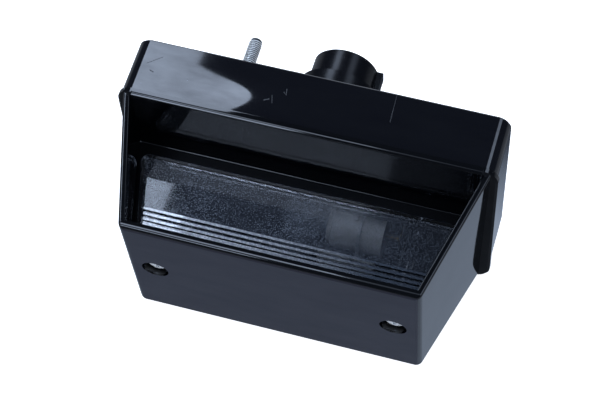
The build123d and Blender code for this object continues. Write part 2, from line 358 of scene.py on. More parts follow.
@dataclass(frozen=True)
class Finish:
    """A finish: how one material looks, with the typical values that it starts from."""

    name: str
    colour: str
    roughness: float
    ior: float = 1.5

    def place(self, tree: Tree) -> Socket:
        """Object coordinates in millimetres, so that pattern scales are counts per millimetre."""
        coordinates = add_node(tree, "ShaderNodeTexCoord", {}, {})
        return stretch(tree, coordinates.outputs["Object"], (1 / MM, 1 / MM, 1 / MM))

    def looks(self, tree: Tree) -> Inputs:
        """Inputs of the shader besides the constant colour, roughness and index."""
        return {}

    def make(self) -> bpy.types.Material:
        """Builds the material.

        Returns:
            The material, with its shader fed by what the finish looks like.
        """
        material = bpy.data.materials.new(self.name)
        material.use_nodes = True
        tree = material.node_tree
        tree.nodes.clear()
        shader = add_node(tree, "ShaderNodeBsdfPrincipled", {}, {
            "Base Color": linear(self.colour), "Roughness": self.roughness, "IOR": self.ior})
        feed(tree, shader, self.looks(tree))
        add_node(tree, "ShaderNodeOutputMaterial", {}, {"Surface": shader.outputs["BSDF"]})
        material.diffuse_color = linear(self.colour)
        return material


@dataclass(frozen=True)
class GlowingPaper(Finish):
    """Pale paper that is lit from behind, so that it stays bright."""

    glow: float = 0.9

    def looks(self, tree: Tree) -> Inputs:
        """Inputs of the shader that make it glow."""
        return {"Emission Color": linear("ffffff"), "Emission Strength": self.glow}


@dataclass(frozen=True)
class Scratch:
    """A straight scratch on the base's top: its two ends and half its width, in millimetres."""

    start: Ends
    end: Ends
    half_width: float
    height: float = 36.0
    core: float = 0.4

    def mask(self, tree: Tree, place: Socket) -> Socket:
        """Masks the scratch by the distance from its line.

        Args:
            tree: node tree of the material.
            place: coordinates in millimetres.

        Returns:
            Output that is 1 in the scratch and 0 away from it.
        """
        start = Vector((*self.start, self.height))
        line = Vector((*self.end, self.height)) - start
        away = add_node(tree, "ShaderNodeVectorMath", {"operation": "SUBTRACT"}, {0: place, 1: start}).outputs["Vector"]
        along = add_node(tree, "ShaderNodeVectorMath", {"operation": "DOT_PRODUCT"}, {
            0: away, 1: line / line.length_squared})
        held = add_node(tree, "ShaderNodeClamp", {}, {"Value": along.outputs["Value"]})
        near = add_node(tree, "ShaderNodeVectorMath", {"operation": "SCALE"}, {
            0: line, "Scale": held.outputs["Result"]})
        gap = add_node(tree, "ShaderNodeVectorMath", {"operation": "DISTANCE"}, {0: away, 1: near.outputs["Vector"]})
        return span(tree, gap.outputs["Value"], self.half_width, self.half_width * self.core)


@dataclass(frozen=True)
class MouldedAbs(Finish):
    """Injection-moulded ABS: near black, with soft sink marks, handling smears, a few scratches and dust.

    Sizes are in millimetres. The swelling rises and falls along x, and rises towards the front along y.
    """

    specular: float = 0.5
    smear: float = 0.03
    smear_size: float = 9.0
    smear_shape: Point = (0.35, 1.0, 1.0)
    smear_range: Ends = (0.35, 0.7)
    haze: float = 0.1
    ripple: float = 0.03
    sink_size: float = 30.0
    grain: float = 0.0
    grain_size: float = 0.5
    dust: str = "4c515b"
    dust_pitch: float = 5.0
    dust_share: float = 0.2
    dust_edge: Ends = (0.04, 0.025)
    scratches: tuple[Scratch, ...] = ()
    scratch_dullness: float = 0.45
    swell: float = 0.0
    swell_rise: Ends = (-66.0, -16.0)
    swell_fall: Ends = (40.0, -16.0)
    swell_front: Ends = (-6.0, -21.0)

    def looks(self, tree: Tree) -> Inputs:
        """Varies the gloss with smears and scratches, strews dust and bends the reflections.

        Args:
            tree: node tree of the material.

        Returns:
            Inputs of the shader.
        """
        place = self.place(tree)
        # smears about 9 mm across, drawn out by wiping along the lamp
        smears = noise(tree, stretch(tree, place, self.smear_shape), self.smear_size, 4.0, 0.6)
        rough = span(tree, smears, *self.smear_range, self.roughness, self.roughness + self.smear)
        for scratch in self.scratches:
            rough = reckon(tree, "MULTIPLY_ADD", scratch.mask(tree, place), self.scratch_dullness, rough, clamp=True)
        sheen = span(tree, smears, *self.smear_range, self.specular * (1 + self.haze), self.specular * (1 - self.haze))
        # sink marks some 30 mm long, which bend the reflections a little
        normal = relief(tree, noise(tree, place, self.sink_size, 0.0), self.ripple)
        if self.swell:
            # a soft swelling beside the left boss, which bends the reflection in the top into an S
            axes = add_node(tree, "ShaderNodeSeparateXYZ", {}, {"Vector": place}).outputs
            height = span(tree, axes["X"], *self.swell_rise, kind="SMOOTHSTEP")
            for axis, reach in (("X", self.swell_fall), ("Y", self.swell_front)):
                height = reckon(tree, "MULTIPLY", height, span(tree, axes[axis], *reach, kind="SMOOTHSTEP"))
            normal = relief(tree, height, self.swell, normal)
        if self.grain:
            # spark-eroded grain of the tool's face
            normal = relief(tree, noise(tree, place, self.grain_size, 3.0), self.grain, normal)
        # specks 0.15 mm across, drawn at twice that so that they show, in some of the cells of 5 mm
        specks = add_node(tree, "ShaderNodeTexVoronoi", {}, {"Vector": place, "Scale": 1 / self.dust_pitch}).outputs
        chance = add_node(tree, "ShaderNodeSeparateColor", {}, {"Color": specks["Color"]}).outputs["Red"]
        few = reckon(tree, "GREATER_THAN", chance, 1 - self.dust_share)
        share = reckon(tree, "MULTIPLY", span(tree, specks["Distance"], *self.dust_edge), few)
        return {"Base Color": blend(tree, share, linear(self.colour), linear(self.dust)), "Roughness": rough,
                "Specular IOR Level": sheen, "Normal": normal}


@dataclass(frozen=True)
class ClearAcrylic(Finish):
    """Clear plastic: polished, with a slight haze that varies."""

    haze: float = 0.04
    haze_size: float = 6.0

    def looks(self, tree: Tree) -> Inputs:
        """Inputs of the shader that make it clear, with its haze."""
        rough = span(tree, noise(tree, self.place(tree), self.haze_size, 3.0), 0.3, 0.7, self.roughness,
                     self.roughness + self.haze)
        return {"Transmission Weight": 1.0, "Roughness": rough}


@dataclass(frozen=True)
class FrostedAcrylic(Finish):
    """Clear panel with a fine frosted grain: it mirrors the light like glass, and veils what lies behind it.

    The veil is the share of the view that the grain covers, and clear is how much of it is left between the pebbles.
    """

    pale: str = "6b7484"
    grain_size: float = 0.55
    veil: float = 0.6
    clear: float = 1.0
    coat: float = 1.0
    left_highlight: Ends | None = None
    lift: float = 0.0
    specular: float = 0.8
    coat_roughness: float = 0.03
    cloud_size: float = 14.0
    cloud_share: float = -0.25
    pebble_edge: Ends = (0.4, 0.05)

    def looks(self, tree: Tree) -> Inputs:
        """Draws the grain, which is paler towards the left end, a painted highlight, and clearer between the pebbles.

        Args:
            tree: node tree of the material.

        Returns:
            Inputs of the shader.
        """
        place = self.place(tree)
        # pebbles of about 0.4 mm, in clouds about 14 mm across
        pebbles = add_node(tree, "ShaderNodeTexVoronoi", {}, {
            "Vector": place, "Scale": 1 / self.grain_size, "Randomness": 0.8})
        clouded = reckon(tree, "MULTIPLY_ADD", noise(tree, place, self.cloud_size, 2.0), self.cloud_share,
                         pebbles.outputs["Distance"])
        share = span(tree, clouded, *self.pebble_edge)
        alpha = span(tree, share, 0.0, 1.0, self.veil * self.clear, self.veil) if self.clear < 1.0 else self.veil
        if self.left_highlight:
            # paler towards the left end: a painted highlight
            axes = add_node(tree, "ShaderNodeSeparateXYZ", {}, {"Vector": place}).outputs
            highlight_share = span(tree, axes["X"], self.left_highlight[1], self.left_highlight[0])
            lifted = reckon(tree, "ADD", share, self.lift) if self.lift else share
            share = reckon(tree, "MULTIPLY", lifted, highlight_share)
        return {"Base Color": blend(tree, share, linear(self.colour), linear(self.pale)), "Alpha": alpha,
                "Specular IOR Level": self.specular, "Coat Weight": self.coat, "Coat Roughness": self.coat_roughness}


@dataclass(frozen=True)
class PlatedMetal(Finish):
    """Metal with a plated or rolled surface: cloudy gloss, fine drawn lines and a darker tone in patches."""

    shade: str = "6f7377"
    metal: float = 1.0
    cloud_size: float = 2.5
    dullness: float = 0.15
    line_pitch: float = 0.25
    line_shape: Point = (0.1, 1.0, 1.0)
    line_depth: float = 0.004

    def looks(self, tree: Tree) -> Inputs:
        """Clouds the tone and the gloss, and draws the fine lines.

        Args:
            tree: node tree of the material.

        Returns:
            Inputs of the shader.
        """
        place = self.place(tree)
        clouds = noise(tree, place, self.cloud_size, 4.0)
        lines = noise(tree, stretch(tree, place, self.line_shape), self.line_pitch, 2.0)
        return {"Metallic": self.metal, "Normal": relief(tree, lines, self.line_depth),
                "Base Color": blend(tree, span(tree, clouds, 0.4, 0.7), linear(self.colour), linear(self.shade)),
                "Roughness": span(tree, clouds, 0.3, 0.7, self.roughness, self.roughness + self.dullness)}


@dataclass(frozen=True)
class ThreadedZinc(PlatedMetal):
    """Plated thread: bright crests, with painted shade and dark grease in the root of the thread; radii in millimetres.
    """

    grease_and_shade: str = "24282c"
    root: float = 2.2
    crest: float = 2.45

    def looks(self, tree: Tree) -> Inputs:
        """Darkens the plating towards the thread's root: painted shade together with grease.

        Args:
            tree: node tree of the material.

        Returns:
            Inputs of the shader.
        """
        inputs = super().looks(tree)
        flat = add_node(tree, "ShaderNodeMapping", {}, {
            "Vector": self.place(tree), "Location": (-STUD_ACROSS, 0.0, 0.0), "Scale": (1.0, 0.0, 1.0)})
        out = add_node(tree, "ShaderNodeVectorMath", {"operation": "LENGTH"}, {0: flat.outputs["Vector"]})
        # painted shade with grease: the plating darkens towards the thread's root
        crest_share = span(tree, out.outputs["Value"], self.root, self.crest)
        return inputs | {"Base Color": blend(tree, crest_share, linear(self.grease_and_shade), inputs["Base Color"])}


@dataclass(frozen=True)
class MattMoulding(Finish):
    """Matt rubber or phenolic: a mottled tone and a fine open grain, with its size and depth in millimetres."""

    mottle: str = "101010"
    grain_size: float = 0.4
    grain_depth: float = 0.03

    def looks(self, tree: Tree) -> Inputs:
        """Inputs of the shader that mottle the tone and open the grain."""
        grain = noise(tree, self.place(tree), self.grain_size, 4.0)
        return {"Base Color": blend(tree, grain, linear(self.colour), linear(self.mottle)),
                "Normal": relief(tree, grain, self.grain_depth)}


# Scratches that handling left on the base's top.
TOP_SCRATCHES = (
    Scratch((-61.4, -10.3), (-56.7, -6.4), 0.15), Scratch((-59.4, -12.8), (-58.1, -13.3), 0.28),
    Scratch((-17.1, -14.5), (-15.6, -13.7), 0.25), Scratch((-15.0, -11.9), (-14.1, -15.0), 0.12),
    Scratch((-10.7, -8.2), (-10.3, -10.6), 0.18), Scratch((-11.4, -9.6), (-10.3, -10.6), 0.15),
    Scratch((27.1, -6.8), (27.3, -12.1), 0.24), Scratch((26.8, -0.8), (27.1, -6.8), 0.13),
)
# The base comes from a polished tool: deep blue-black with a sharp reflection, scratched by handling.
GLOSS_ABS = MouldedAbs("gloss_abs", "0b0c11", 0.025, ripple=0.1, specular=0.52, haze=0.25, scratches=TOP_SCRATCHES,
                       swell=1.35)
# The hood's walls have the same gloss, without the scratches.
HOOD_ABS = MouldedAbs("hood_abs", "050609", 0.035, ripple=0.1)
# The lip lies on the base, so its top follows the swelling of the base.
LIP_ABS = MouldedAbs("lip_abs", "050609", 0.03, ripple=0.1, swell=1.35)
# The front plate's tool is eroded, which makes a fine satin; its blue-grey colour, paler than the rest of the hood, is
# a painted sheen.
SATIN_ABS = MouldedAbs("satin_abs", "1d1e2a", 0.42, grain=0.02, specular=0.32)
# The shelf round the lens and the lip's front are left as the cutter made them: they are dull and stay dark.
SHELF_ABS = MouldedAbs("shelf_abs", "050609", 0.55, grain=0.02, specular=0.15)
# The socket is the same plastic from a duller tool, so its streaks of light are soft.
SOCKET_ABS = MouldedAbs("socket_abs", "0a0b0f", 0.24, ripple=0.01, specular=0.22)
# The lens is clear acrylic: its border is polished and catches sharp bright lines.
POLISHED_ACRYLIC = ClearAcrylic("polished_acrylic", "e4e9f2", 0.02, 1.49)
# The border's rounded edges get a pale colour, a painted highlight that shows as thin pale lines.
BORDER_HIGHLIGHT_ACRYLIC = FrostedAcrylic("rubbed_acrylic", "39414d", 0.1, 1.49, pale="b4bdca", veil=0.5)
# The crests of the ribs are painted white, palest at the left end, as a painted highlight, and shine where they mirror
# the light.
CREST_ACRYLIC = FrostedAcrylic("crest_acrylic", "3f4650", 0.05, 1.49, pale="fbfcff", veil=0.85, left_highlight=(-50.0, 32.0),
                               lift=0.5)
# The panel's top is smooth, so it mirrors the light, over a fine frosted grain that veils what is below. Its grain is
# paler towards the left end, a painted highlight.
FROSTED_ACRYLIC = FrostedAcrylic("frosted_acrylic", "272b33", 0.05, 1.49, pale="a4abb6", grain_size=0.4, veil=0.68,
                                 clear=0.75, coat=0.5, left_highlight=(-80.0, 130.0))
# The panel's underside has the same grain, thinner.
UNDERSIDE_ACRYLIC = FrostedAcrylic("underside_acrylic", "12141a", 0.1, 1.49, veil=0.15, coat=0.0)
# The bulb's glass is given a thin pale veil, a painted highlight: a pale, see-through ball with clear highlights.
LAMP_GLASS = FrostedAcrylic("lamp_glass", "a5aeb9", 0.05, 1.5, pale="dfe6ee", grain_size=2.5, veil=0.3)
# The stud's thread is zinc plated, with painted shade and grease in its root that draw its fine lines.
STUD_ZINC = ThreadedZinc("stud_zinc_plate", "fafaf7", 0.4, shade="e2e4e2", metal=0.35)
# The screws have bright zinc plating: a pale blue-grey metal with a soft gleam.
BRIGHT_ZINC = PlatedMetal("bright_zinc", "f6f8fa", 0.35, shade="d8dce0", metal=0.45)
# The bracket is zinc-plated strip, greyer than the screws, so it stays behind them.
BRACKET_STEEL = PlatedMetal("bracket_steel", "eceef0", 0.4, shade="c4c8cc", metal=0.6)
# The bulb's cap and its shell have warm white nickel, the brightest thing behind the panel.
NICKEL = PlatedMetal("nickel", "fbfaf7", 0.4, shade="e6e4de", metal=0.3)
# The contacts are stamped brass that has gone dull: a brownish yellow in the mouth of the socket.
STAMPED_BRASS = PlatedMetal("stamped_brass", "9c8658", 0.35, shade="6f5c34")
# The filament and its wires are tungsten: thin grey lines in the glass.
TUNGSTEN = PlatedMetal("tungsten", "8d8d8f", 0.35, shade="6a6a6c")
# The disc behind the bulb is phenolic board: a warm matt brown.
BROWN_PHENOLIC = MattMoulding("brown_phenolic", "5b3521", 0.45, 1.6, mottle="402417")
# The gasket is rubber: matt and a little greyer than the plastic on both sides of it.
BLACK_RUBBER = MattMoulding("black_rubber", "18181a", 0.7, 1.5, mottle="0e0e10")
# The floor is pale paper, evenly bright up to the horizon.
PALE_PAPER = GlowingPaper("pale_paper", "f6f6f6", 0.9)


@dataclass
class SoftenedNode:
    """A CAD piece whose moulded edges are softened for the eye; sizes in millimetres, angles in degrees."""

    node: str
    name: str
    slot: str
    finish: Finish
    edge: float = 0.25
    wide: float = 0.0
    sharp: float = 28.0
    flat: float = 0.6

    def others(self) -> Coats:
        """Further finishes, each with the test that says which faces have it."""
        return ()

    def trim(self, piece: Piece) -> None:
        """Shapes the copy in edit mode before its edges are softened; most pieces need nothing."""

    def is_wide(self, edge: Edge) -> bool:
        """Whether an edge gets the wide rounding."""
        return False

    def is_sharp(self, edge: Edge) -> bool:
        """Whether two faces meet at an edge at more than the sharp angle."""
        return fold(edge) > math.radians(self.sharp)

    def build(self) -> Piece:
        """Copies the node, merges its triangles into whole faces and bevels its sharp edges.

        Returns:
            The softened copy.
        """
        mesh = frame["nodes"][self.node].data.copy()
        mesh.materials.clear()
        piece = bpy.data.objects.new(self.name, mesh)
        mesh.name = self.name
        bpy.context.scene.collection.objects.link(piece)
        with editing(piece):
            bpy.ops.mesh.customdata_custom_splitnormals_clear()
            bpy.ops.mesh.remove_doubles(threshold=WELD)
            bpy.ops.mesh.dissolve_limited(angle_limit=math.radians(self.flat))
            self.trim(piece)
            if self.wide:
                select_where(piece, Part.EDGE, self.is_wide)
                bpy.ops.mesh.bevel(offset=self.wide * MM, segments=4, profile=0.5, affect="EDGES")
            select_where(piece, Part.EDGE, self.is_sharp)
            bpy.ops.mesh.bevel(offset=self.edge * MM, segments=2, profile=0.5, affect="EDGES", clamp_overlap=True)
        return piece

    def dress(self, piece: Piece) -> None:
        """Puts the main finish on, and each other one where its test says so.

        Args:
            piece: piece to dress.
        """
        piece.data.materials.append(self.finish.make())
        for number, (finish, test) in enumerate(self.others(), start=1):
            piece.data.materials.append(finish.make())
            with editing(piece):
                select_where(piece, Part.FACE, test)
                piece.active_material_index = number
                bpy.ops.object.material_slot_assign()
        smooth(piece)

    def make(self) -> Piece:
        """Builds, dresses and places the piece.

        Returns:
            The finished piece.
        """
        piece = self.build()
        self.dress(piece)
        return show(piece, self.slot, self.node)


@dataclass
class BaseBox(SoftenedNode):
    """The base, whose neck comes from the socket's duller tool."""

    neck_start: float = 0.3

    def others(self) -> Coats:
        """The neck's finish."""
        return ((SOCKET_ABS, self.on_neck),)

    def on_neck(self, face: Face) -> bool:
        """Whether a face lies on the neck behind the mounting face."""
        return middle(face).y > self.neck_start


@dataclass
class HoodShell(SoftenedNode):
    """The hood, whose lip and cheeks have rounder edges than the rest."""

    wide: float = 0.5
    plate_back: float = -65.5
    lip_top: float = 36.5
    lip_low: float = 35.5
    lip_back: float = -21.5
    lip_front: Ends = (-24.6, -21.9)
    cheek_inside: float = 60.0
    cheek_back: float = -22.0
    rim_low: float = 25.0
    rim_edge_low: float = 26.0
    shelf_level: float = 6.3
    shelf_slack: float = 0.1
    wall_foot: float = -25.5
    long_edge: float = 10.0
    rounded_fold: float = 0.5

    def others(self) -> Coats:
        """Finishes of the front plate, the lip's top and the dull faces."""
        return (SATIN_ABS, self.on_front_plate), (LIP_ABS, self.on_lip_top), (SHELF_ABS, self.on_dull_face)

    def on_front_plate(self, face: Face) -> bool:
        """Whether a face lies on the slanted front plate."""
        return face.normal.y < -0.9 and middle(face).y < self.plate_back

    def on_lip_top(self, face: Face) -> bool:
        """Whether a face is the top of the lip."""
        return face.normal.z > 0.95 and middle(face).z > self.lip_top

    def on_dull_face(self, face: Face) -> bool:
        """Whether a face is the shelf, or lies on the front of the lip beside the cheeks."""
        spot = middle(face)
        beside = abs(spot.x) > self.cheek_inside and self.lip_front[0] < spot.y < self.lip_front[1]
        return self.on_shelf(face) or (beside and face.normal.y < -0.3)

    def on_shelf(self, face: Face) -> bool:
        """Whether a face is the shelf round the lens."""
        return face.normal.z > 0.9 and abs(middle(face).z - self.shelf_level) < self.shelf_slack

    def on_rim(self, face: Face) -> bool:
        """Whether a face is the top of the rim round the scoop."""
        return face.normal.z > 0.9 and face.normal.y < -0.1 and middle(face).z > self.rim_low

    def is_wide(self, edge: Edge) -> bool:
        """Whether an edge runs along the lip's top, a cheek's rim or the foot of the scoop's back wall.

        Args:
            edge: edge to look at.

        Returns:
            True for those edges.
        """
        a, b = ends(edge)
        low, front, back = min(a.z, b.z), min(a.y, b.y), max(a.y, b.y)
        across, deep = abs(a.x - b.x) > self.long_edge, abs(a.y - b.y) > self.long_edge
        lip = across and low > self.lip_low and back < self.lip_back
        cheek = deep and low > self.rim_edge_low and back < self.cheek_back
        level = max(abs(a.z - self.shelf_level), abs(b.z - self.shelf_level)) < self.shelf_slack
        foot = across and level and front > self.wall_foot
        return fold(edge) >= self.rounded_fold and (lip or cheek or foot)

    def trim(self, piece: Piece) -> None:
        """Splits the rim and the shelf, which go round several sides, into whole strips that can be bevelled.

        Args:
            piece: piece that is in edit mode.
        """
        for test in (self.on_rim, self.on_shelf):
            select_where(piece, Part.FACE, test)
            bpy.ops.mesh.vert_connect_concave()


@dataclass
class LensTray(SoftenedNode):
    """The lens, whose rib crests lean back a little, so that they throw the light down on the plate."""

    edge: float = 0.15
    wide: float = 0.55
    panel_top: float = 7.6
    panel_underside: float = 5.8
    panel_slack: float = 0.05
    rib_front: float = -61.1
    rib_pitch: float = 2.05
    crest_height: float = 8.2
    crest_level: float = 8.16
    crest_slack: float = 0.12
    lean: float = 0.075
    band_back: float = -57.0
    band_low: float = 7.5
    border_low: float = 8.22
    border_edge_low: float = 8.35
    border_fold: float = 1.0
    slack: float = 0.02

    def others(self) -> Coats:
        """Finishes of the panel's two sides, the border's rim and the rib crests."""
        return ((FROSTED_ACRYLIC, self.on_panel_top), (UNDERSIDE_ACRYLIC, self.on_panel_underside),
                (BORDER_HIGHLIGHT_ACRYLIC, self.on_border_rim), (CREST_ACRYLIC, self.on_rib_crest))

    def on_panel_top(self, face: Face) -> bool:
        """Whether a face is the top of the sunk panel, behind or between the ribs."""
        return face.normal.z > 0.99 and abs(middle(face).z - self.panel_top) < self.panel_slack

    def on_panel_underside(self, face: Face) -> bool:
        """Whether a face is the underside of the panel."""
        return face.normal.z < -0.99 and abs(middle(face).z - self.panel_underside) < self.panel_slack

    def on_border_rim(self, face: Face) -> bool:
        """Whether a face lies on the rounded top edge of the border."""
        return 0.15 < face.normal.z < 0.97 and middle(face).z > self.border_low

    def on_rib_crest(self, face: Face) -> bool:
        """Whether a face lies on the crest of a rib, or in the band along the front that gets the painted highlight."""
        spot = middle(face)
        return face.normal.z > 0.8 and (abs(spot.z - self.crest_level) < self.crest_slack or (
            spot.y < self.band_back and spot.z > self.band_low))

    def is_wide(self, edge: Edge) -> bool:
        """Whether an edge runs round the top of the raised border."""
        return min(spot.z for spot in ends(edge)) > self.border_edge_low and fold(edge) > self.border_fold

    def behind_crest(self, edge: Edge) -> bool:
        """Whether an edge is the back edge of a rib's crest.

        Args:
            edge: edge to look at.

        Returns:
            True for those edges.
        """
        a, b = ends(edge)
        level = max(abs(a.z - self.crest_height), abs(b.z - self.crest_height)) < self.slack
        return level and abs(a.y - b.y) < self.slack and (a.y - self.rib_front) / self.rib_pitch % 1.0 > 0.5

    def trim(self, piece: Piece) -> None:
        """Lowers the back edge of each rib's crest.

        Args:
            piece: piece that is in edit mode.
        """
        count = select_where(piece, Part.EDGE, self.behind_crest)
        bpy.ops.transform.translate(value=(0, 0, -self.lean * MM))
        LOG.info("%s: %d rib crests leant back", self.name, count)


@dataclass
class PanScrew(SoftenedNode):
    """A hood screw, whose head is rounded to a pan."""

    edge: float = 0.1
    wide: float = 1.3
    head_back: float = -66.0
    across: float = 43.4
    height: float = -4.0
    head_inside: float = 4.0

    def is_wide(self, edge: Edge) -> bool:
        """Whether an edge lies on the outer rim of the head."""
        return all(spot.y < self.head_back and self.out(spot) > self.head_inside for spot in ends(edge))

    def out(self, spot: Vector) -> float:
        """Distance of a spot from the screw's axis."""
        return math.hypot(abs(spot.x) - self.across, spot.z - self.height)


@dataclass
class ThreadedStud:
    """Hexagon screw that stands out of the back, with its thread cut; sizes in millimetres."""

    across: float = STUD_ACROSS
    length: float = 32.0
    radius: float = 2.5
    pitch: float = 0.8
    thread_depth: float = 0.32
    thread_start: float = 1.2
    thread_lead: float = 0.6
    thread_foot: float = 0.1
    runout: float = 0.3
    chamfer: float = 0.4
    tip: float = 0.8
    collar_radius: float = 3.2
    wall: float = 2.6
    head_radius: float = 4.62
    head_height: float = 3.5
    head_edge: float = 0.25
    shank_steps: int = 40
    thread_steps: int = 28

    def build(self) -> Piece:
        """Turns the shank, winds the thread on it and adds the hexagon head.

        Returns:
            The stud as one piece.
        """
        root = self.radius - self.thread_depth
        section = [(0, -self.wall), (self.collar_radius, -self.wall), (self.collar_radius, 0), (self.radius, 0),
                   (self.radius, self.thread_start), (root, self.thread_start + self.runout),
                   (root, self.length - self.chamfer), (root - self.chamfer, self.length), (0, self.length)]
        places = [((self.across + out) * MM, along * MM, 0) for out, along in section]
        shank = turned("mounting_stud_thread", places, Axis.BACK, (self.across * MM, 0, 0), self.shank_steps)
        return join(shank, self.thread(root), self.forge())

    def thread(self, root: float) -> Piece:
        """Winds a four-sided ridge round the shank.

        Args:
            root: radius of the shank under the thread.

        Returns:
            The thread's ridge, closed at its ends.
        """
        half = self.pitch / 2
        foot = root - self.thread_foot
        corners = [(foot, -half * 0.95), (self.radius, -half * 0.3), (self.radius, half * 0.3), (foot, half * 0.95)]
        bpy.ops.mesh.primitive_plane_add(size=MM, location=(0, 0, 0))
        ridge = bpy.context.object
        with editing(ridge):
            bpy.ops.mesh.delete(type="ONLY_FACE")
            mesh = bmesh.from_edit_mesh(ridge.data)
            mesh.verts.ensure_lookup_table()
            # the plane's corners in the order that goes round it
            for number, (out, along) in zip((0, 1, 3, 2), corners):
                mesh.verts[number].co = Vector((out, along, 0)) * MM
            bmesh.update_edit_mesh(ridge.data)
        turns = int((self.length - self.tip - self.thread_start) / self.pitch) - 1
        wind(ridge, "Y", self.pitch, turns, self.thread_steps)
        ridge.location = (self.across * MM, (self.thread_start + self.thread_lead) * MM, 0)
        settle(ridge)
        return ridge

    def forge(self) -> Piece:
        """Shapes the hexagon head that lies in the base's boss.

        Returns:
            The head, with softened corners.
        """
        bpy.ops.mesh.primitive_cylinder_add(
            vertices=6, radius=self.head_radius * MM, depth=self.head_height * MM,
            location=(self.across * MM, -(self.wall + self.head_height / 2) * MM, 0),
            rotation=(math.pi / 2, math.radians(30), 0))
        head = bpy.context.object
        settle(head)
        with editing(head):
            bpy.ops.mesh.bevel(offset=self.head_edge * MM, segments=2, affect="EDGES")
        return head

    def make(self) -> Piece:
        """Builds, dresses and places the stud.

        Returns:
            The finished stud.
        """
        stud = self.build()
        stud.data.materials.append(STUD_ZINC.make())
        smooth(stud)
        return show(stud, "stud_zinc", "mounting_stud")


@dataclass
class BayonetBulb:
    """Bulb that lies across the lamp: glass, cap with its pins and end contact, wires and filament; in millimetres."""

    depth: float = 28.0
    height: float = -15.5
    ball_centre: float = -0.924
    ball_radius: float = 8.95
    ball_steps: int = 18
    glass_wall: float = 0.5
    neck_radius: float = 5.45
    neck_start: float = 6.2
    cap_start: float = 9.2
    cap_end: float = 26.2
    cap_radius: float = 7.45
    nub_radius: float = 2.45
    nub_height: float = 1.5
    pin_radius: float = 0.95
    pin_root: float = 1.0
    pin_reach: float = 8.35
    pin_setback: float = 7.0
    pin_edge: float = 0.3
    wire_radius: float = 0.25
    wire_spread: float = 2.8
    wire_point: float = 0.2
    coil_radius: float = 0.45
    coil_wire: float = 0.09
    coil_pitch: float = 0.4
    coil_turns: int = 14
    coil_steps: int = 14
    round_steps: int = 48
    pin_steps: int = 16
    wire_steps: int = 10

    def at(self, along: float, out: float) -> Point:
        """Place on the bulb's section, along its axis and out from it, in metres."""
        return (along * MM, -self.depth * MM, (self.height + out) * MM)

    def blow(self) -> Piece:
        """Turns the glass: a ball that narrows to a neck, with an inner skin.

        Returns:
            The glass envelope.
        """
        stop = math.acos((self.ball_centre - self.neck_start) / self.ball_radius)
        outer, inner = [], []
        for number in range(self.ball_steps + 1):
            turn = stop * number / self.ball_steps
            for line, radius in ((outer, self.ball_radius), (inner, self.ball_radius - self.glass_wall)):
                line.append(self.at(self.ball_centre - radius * math.cos(turn), radius * math.sin(turn)))
        end = self.cap_start + self.glass_wall
        rim = [self.at(end, self.neck_radius), self.at(end, self.neck_radius - self.glass_wall)]
        return turned("bulb_glass_envelope", outer + rim + inner[::-1], Axis.ACROSS, self.at(0, 0), self.round_steps)

    def crimp(self) -> Piece:
        """Turns the cap, with a rolled mouth and its end contact, and sets the two pins in it.

        Returns:
            The cap as one piece.
        """
        mouth, end, out, nub = self.cap_start, self.cap_end, self.cap_radius, self.nub_radius
        section = [(mouth, self.neck_radius + 0.1), (mouth, out - 0.5), (mouth + 0.15, out - 0.15), (mouth + 0.5, out),
                   (mouth + 1.6, out), (mouth + 1.9, out - 0.2), (end - 0.8, out - 0.2), (end - 0.2, out - 0.6),
                   (end, out - 1.2), (end, nub), (end + self.nub_height * 0.5, nub),
                   (end + self.nub_height * 0.9, nub * 0.7), (end + self.nub_height, 0)]
        cap = turned("bulb_cap", [self.at(*spot) for spot in section], Axis.ACROSS, self.at(0, 0), self.round_steps)
        low, high, wide = out - self.pin_root, self.pin_reach, self.pin_radius
        line = [(0, low), (wide, low), (wide, high - self.pin_edge), (wide - self.pin_edge, high), (0, high)]
        spot = end - self.pin_setback
        pins = [turned("bulb_pin", [self.at(spot + off, side * up) for off, up in line], Axis.UP, self.at(spot, 0),
                       self.pin_steps) for side in (-1, 1)]
        return join(cap, *pins)

    def string(self) -> Piece:
        """Winds the filament and draws the two wires that carry it.

        Returns:
            Filament and wires as one piece.
        """
        bpy.ops.mesh.primitive_circle_add(vertices=6, radius=self.coil_wire * MM, fill_type="NOTHING",
                                          location=(0, 0, 0), rotation=(math.pi / 2, 0, 0))
        coil = bpy.context.object
        coil.name = coil.data.name = "bulb_filament"
        settle(coil)
        with editing(coil):
            bpy.ops.transform.translate(value=(self.coil_radius * MM, 0, 0))
        wind(coil, "Z", self.coil_pitch, self.coil_turns, self.coil_steps)
        coil.location = self.at(self.ball_centre, -self.wire_spread)
        settle(coil)
        foot, top, thick = self.cap_start + 1.0, self.ball_centre, self.wire_radius
        line = [(foot, 0), (foot, thick), (top, thick), (top - self.wire_point, 0)]
        wires = [turned("bulb_wire", [self.at(along, level + out) for along, out in line], Axis.ACROSS,
                        self.at(0, level), self.wire_steps) for level in (-self.wire_spread, self.wire_spread)]
        return join(coil, *wires)

    def make(self) -> list[Piece]:
        """Builds, dresses and places the parts of the bulb.

        Returns:
            Glass, cap and filament.
        """
        parts = []
        for part, finish in ((self.blow(), LAMP_GLASS), (self.crimp(), NICKEL), (self.string(), TUNGSTEN)):
            part.data.materials.append(finish.make())
            smooth(part)
            parts.append(show(part, "bulb_glass", "bulb"))
        return parts


